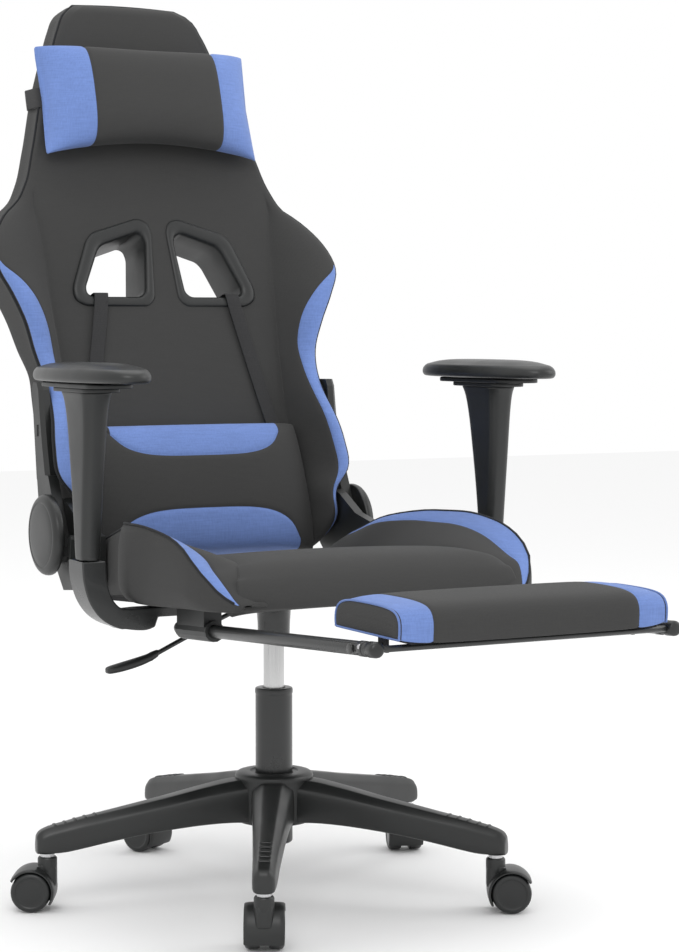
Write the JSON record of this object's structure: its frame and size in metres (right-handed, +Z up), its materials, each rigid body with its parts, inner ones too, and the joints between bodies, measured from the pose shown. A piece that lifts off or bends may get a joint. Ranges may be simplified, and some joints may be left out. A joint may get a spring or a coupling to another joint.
{
  "type": "gaming chair",
  "caption": "Gaming chair with a bucket seat, reclining backrest with shoulder holes, strapped pillows, armrests, a pull-out footrest and a caster base.",
  "frame": {"origin": "centre of the chair's footprint box, on the floor; the column axis stands 8 mm to +X and 55 mm to +Y of it", "axes": "+Z up, -Y the way the sitter faces, +X the sitter's left"},
  "size_m": [0.6942, 1.2152, 1.246],
  "materials": {
    "dark_fabric": "matt charcoal woven upholstery with blue panels",
    "strap": "black elastic webbing",
    "plastic": "satin moulded black nylon",
    "wheel": "satin black nylon",
    "painted_metal": "black powder coat",
    "chrome": "polished",
    "steel": "bright zinc plate",
    "board": "plywood under black lining cloth"
  },
  "bodies": {
    "base": {"star_base": "plastic", "gas_tube": "painted_metal"},
    "caster_1": {"caster_stem_1": "steel", "caster_hood_1": "plastic"},
    "wheel_1a": {"caster_wheel_1a": "wheel"},
    "wheel_1b": {"caster_wheel_1b": "wheel"},
    "caster_2": {"caster_stem_2": "steel", "caster_hood_2": "plastic"},
    "wheel_2a": {"caster_wheel_2a": "wheel"},
    "wheel_2b": {"caster_wheel_2b": "wheel"},
    "caster_3": {"caster_stem_3": "steel", "caster_hood_3": "plastic"},
    "wheel_3a": {"caster_wheel_3a": "wheel"},
    "wheel_3b": {"caster_wheel_3b": "wheel"},
    "caster_4": {"caster_stem_4": "steel", "caster_hood_4": "plastic"},
    "wheel_4a": {"caster_wheel_4a": "wheel"},
    "wheel_4b": {"caster_wheel_4b": "wheel"},
    "caster_5": {"caster_stem_5": "steel", "caster_hood_5": "plastic"},
    "wheel_5a": {"caster_wheel_5a": "wheel"},
    "wheel_5b": {"caster_wheel_5b": "wheel"},
    "swivel": {"gas_rod": "steel"},
    "seat": {"gas_cylinder": "chrome", "seat_mechanism": "painted_metal", "seat_board": "board", "seat_cushion": "dark_fabric", "seat_bolster_left": "dark_fabric", "seat_bolster_right": "dark_fabric", "arm_bracket_left": "painted_metal", "arm_bracket_right": "painted_metal", "arm_post_left": "plastic", "arm_post_right": "plastic", "arm_pad_left": "plastic", "arm_pad_right": "plastic", "recliner_lower_cover_left": "plastic", "recliner_lower_cover_right": "plastic", "recliner_hub_left": "plastic", "recliner_hub_right": "plastic", "rail_guide_left": "plastic", "rail_guide_right": "plastic"},
    "height_lever": {"lever_rod": "painted_metal", "lever_grip": "plastic"},
    "recline_lever": {"recline_lever": "plastic"},
    "backrest": {"backrest_cushion": "dark_fabric", "backrest_rear_panel": "dark_fabric", "hole_trim_left": "plastic", "hole_trim_right": "plastic", "head_pillow": "dark_fabric", "head_strap": "strap", "lumbar_pillow": "dark_fabric", "lumbar_strap_left": "strap", "lumbar_strap_right": "strap", "recliner_upper_cover_left": "plastic", "recliner_upper_cover_right": "plastic"},
    "footrest_frame": {"footrest_rail_left": "painted_metal", "footrest_rail_right": "painted_metal", "footrest_crossbar": "painted_metal"},
    "footrest_panel": {"footrest_pad": "dark_fabric", "footrest_board": "board"}
  },
  "joints": [
    {"name": "caster_swivel_1", "type": "hinge", "parent": "base", "child": "caster_1", "pos_m": [-0.14039, -0.21717, 0.06], "axis": [0, 0, 1], "continuous": true},
    {"name": "wheel_spin_1a", "type": "hinge", "parent": "caster_1", "child": "wheel_1a", "pos_m": [-0.13101, -0.19952, 0.02627], "axis": [-0.8829, 0.4695, 0], "continuous": true},
    {"name": "wheel_spin_1b", "type": "hinge", "parent": "caster_1", "child": "wheel_1b", "pos_m": [-0.13101, -0.19952, 0.02627], "axis": [-0.8829, 0.4695, 0], "continuous": true},
    {"name": "caster_swivel_2", "type": "hinge", "parent": "base", "child": "caster_2", "pos_m": [0.221, -0.17024, 0.06], "axis": [0, 0, 1], "continuous": true},
    {"name": "wheel_spin_2a", "type": "hinge", "parent": "caster_2", "child": "wheel_2a", "pos_m": [0.23866, -0.17963, 0.02627], "axis": [0.4695, 0.8829, 0], "continuous": true},
    {"name": "wheel_spin_2b", "type": "hinge", "parent": "caster_2", "child": "wheel_2b", "pos_m": [0.23866, -0.17963, 0.02627], "axis": [0.4695, 0.8829, 0], "continuous": true},
    {"name": "caster_swivel_3", "type": "hinge", "parent": "base", "child": "caster_3", "pos_m": [0.28803, 0.18797, 0.06], "axis": [0, 0, 1], "continuous": true},
    {"name": "wheel_spin_3a", "type": "hinge", "parent": "caster_3", "child": "wheel_3a", "pos_m": [0.29553, 0.20651, 0.02627], "axis": [-0.9272, 0.3746, 0], "continuous": true},
    {"name": "wheel_spin_3b", "type": "hinge", "parent": "caster_3", "child": "wheel_3b", "pos_m": [0.29553, 0.20651, 0.02627], "axis": [-0.9272, 0.3746, 0], "continuous": true},
    {"name": "caster_swivel_4", "type": "hinge", "parent": "base", "child": "caster_4", "pos_m": [-0.03193, 0.36242, 0.06], "axis": [0, 0, 1], "continuous": true},
    {"name": "wheel_spin_4a", "type": "hinge", "parent": "caster_4", "child": "wheel_4a", "pos_m": [-0.04132, 0.38008, 0.02627], "axis": [-0.8829, -0.4695, 0], "continuous": true},
    {"name": "wheel_spin_4b", "type": "hinge", "parent": "caster_4", "child": "wheel_4b", "pos_m": [-0.04132, 0.38008, 0.02627], "axis": [-0.8829, -0.4695, 0], "continuous": true},
    {"name": "caster_swivel_5", "type": "hinge", "parent": "base", "child": "caster_5", "pos_m": [-0.29671, 0.11202, 0.06], "axis": [0, 0, 1], "continuous": true},
    {"name": "wheel_spin_5a", "type": "hinge", "parent": "caster_5", "child": "wheel_5a", "pos_m": [-0.31437, 0.12141, 0.02627], "axis": [-0.4695, -0.8829, 0], "continuous": true},
    {"name": "wheel_spin_5b", "type": "hinge", "parent": "caster_5", "child": "wheel_5b", "pos_m": [-0.31437, 0.12141, 0.02627], "axis": [-0.4695, -0.8829, 0], "continuous": true},
    {"name": "seat_swivel", "type": "hinge", "parent": "base", "child": "swivel", "pos_m": [0.008, 0.055, 0.1], "axis": [0, 0, 1], "continuous": true},
    {"name": "seat_lift", "type": "slide", "parent": "swivel", "child": "seat", "axis": [0, 0, 1], "range_m": [-0.055, 0.035]},
    {"name": "height_lever_lift", "type": "hinge", "parent": "seat", "child": "height_lever", "pos_m": [-0.052, 0.055, 0.386], "axis": [0, 1, 0], "range_deg": [0, 8], "stiffness_Nm_per_rad": 8, "springref_deg": -5.73},
    {"name": "recline_lever_pull", "type": "hinge", "parent": "seat", "child": "recline_lever", "pos_m": [-0.216, 0.215, 0.476], "axis": [-1, 0, 0], "range_deg": [0, 20], "stiffness_Nm_per_rad": 3, "springref_deg": -5.73},
    {"name": "recline", "type": "hinge", "parent": "seat", "child": "backrest", "pos_m": [0.008, 0.277, 0.479], "axis": [-1, 0, 0], "range_deg": [-8, 40]},
    {"name": "footrest_slide", "type": "slide", "parent": "seat", "child": "footrest_frame", "axis": [0, 0.9978, -0.0664], "range_m": [0, 0.28]},
    {"name": "footrest_flip", "type": "hinge", "parent": "footrest_frame", "child": "footrest_panel", "pos_m": [0.008, -0.543, 0.41847], "axis": [-1, 0, 0], "range_deg": [0, 180]}
  ],
  "couplings": [
    {"joint": "footrest_flip", "follows": "footrest_slide", "rad_per_m": 11.219}
  ]
}
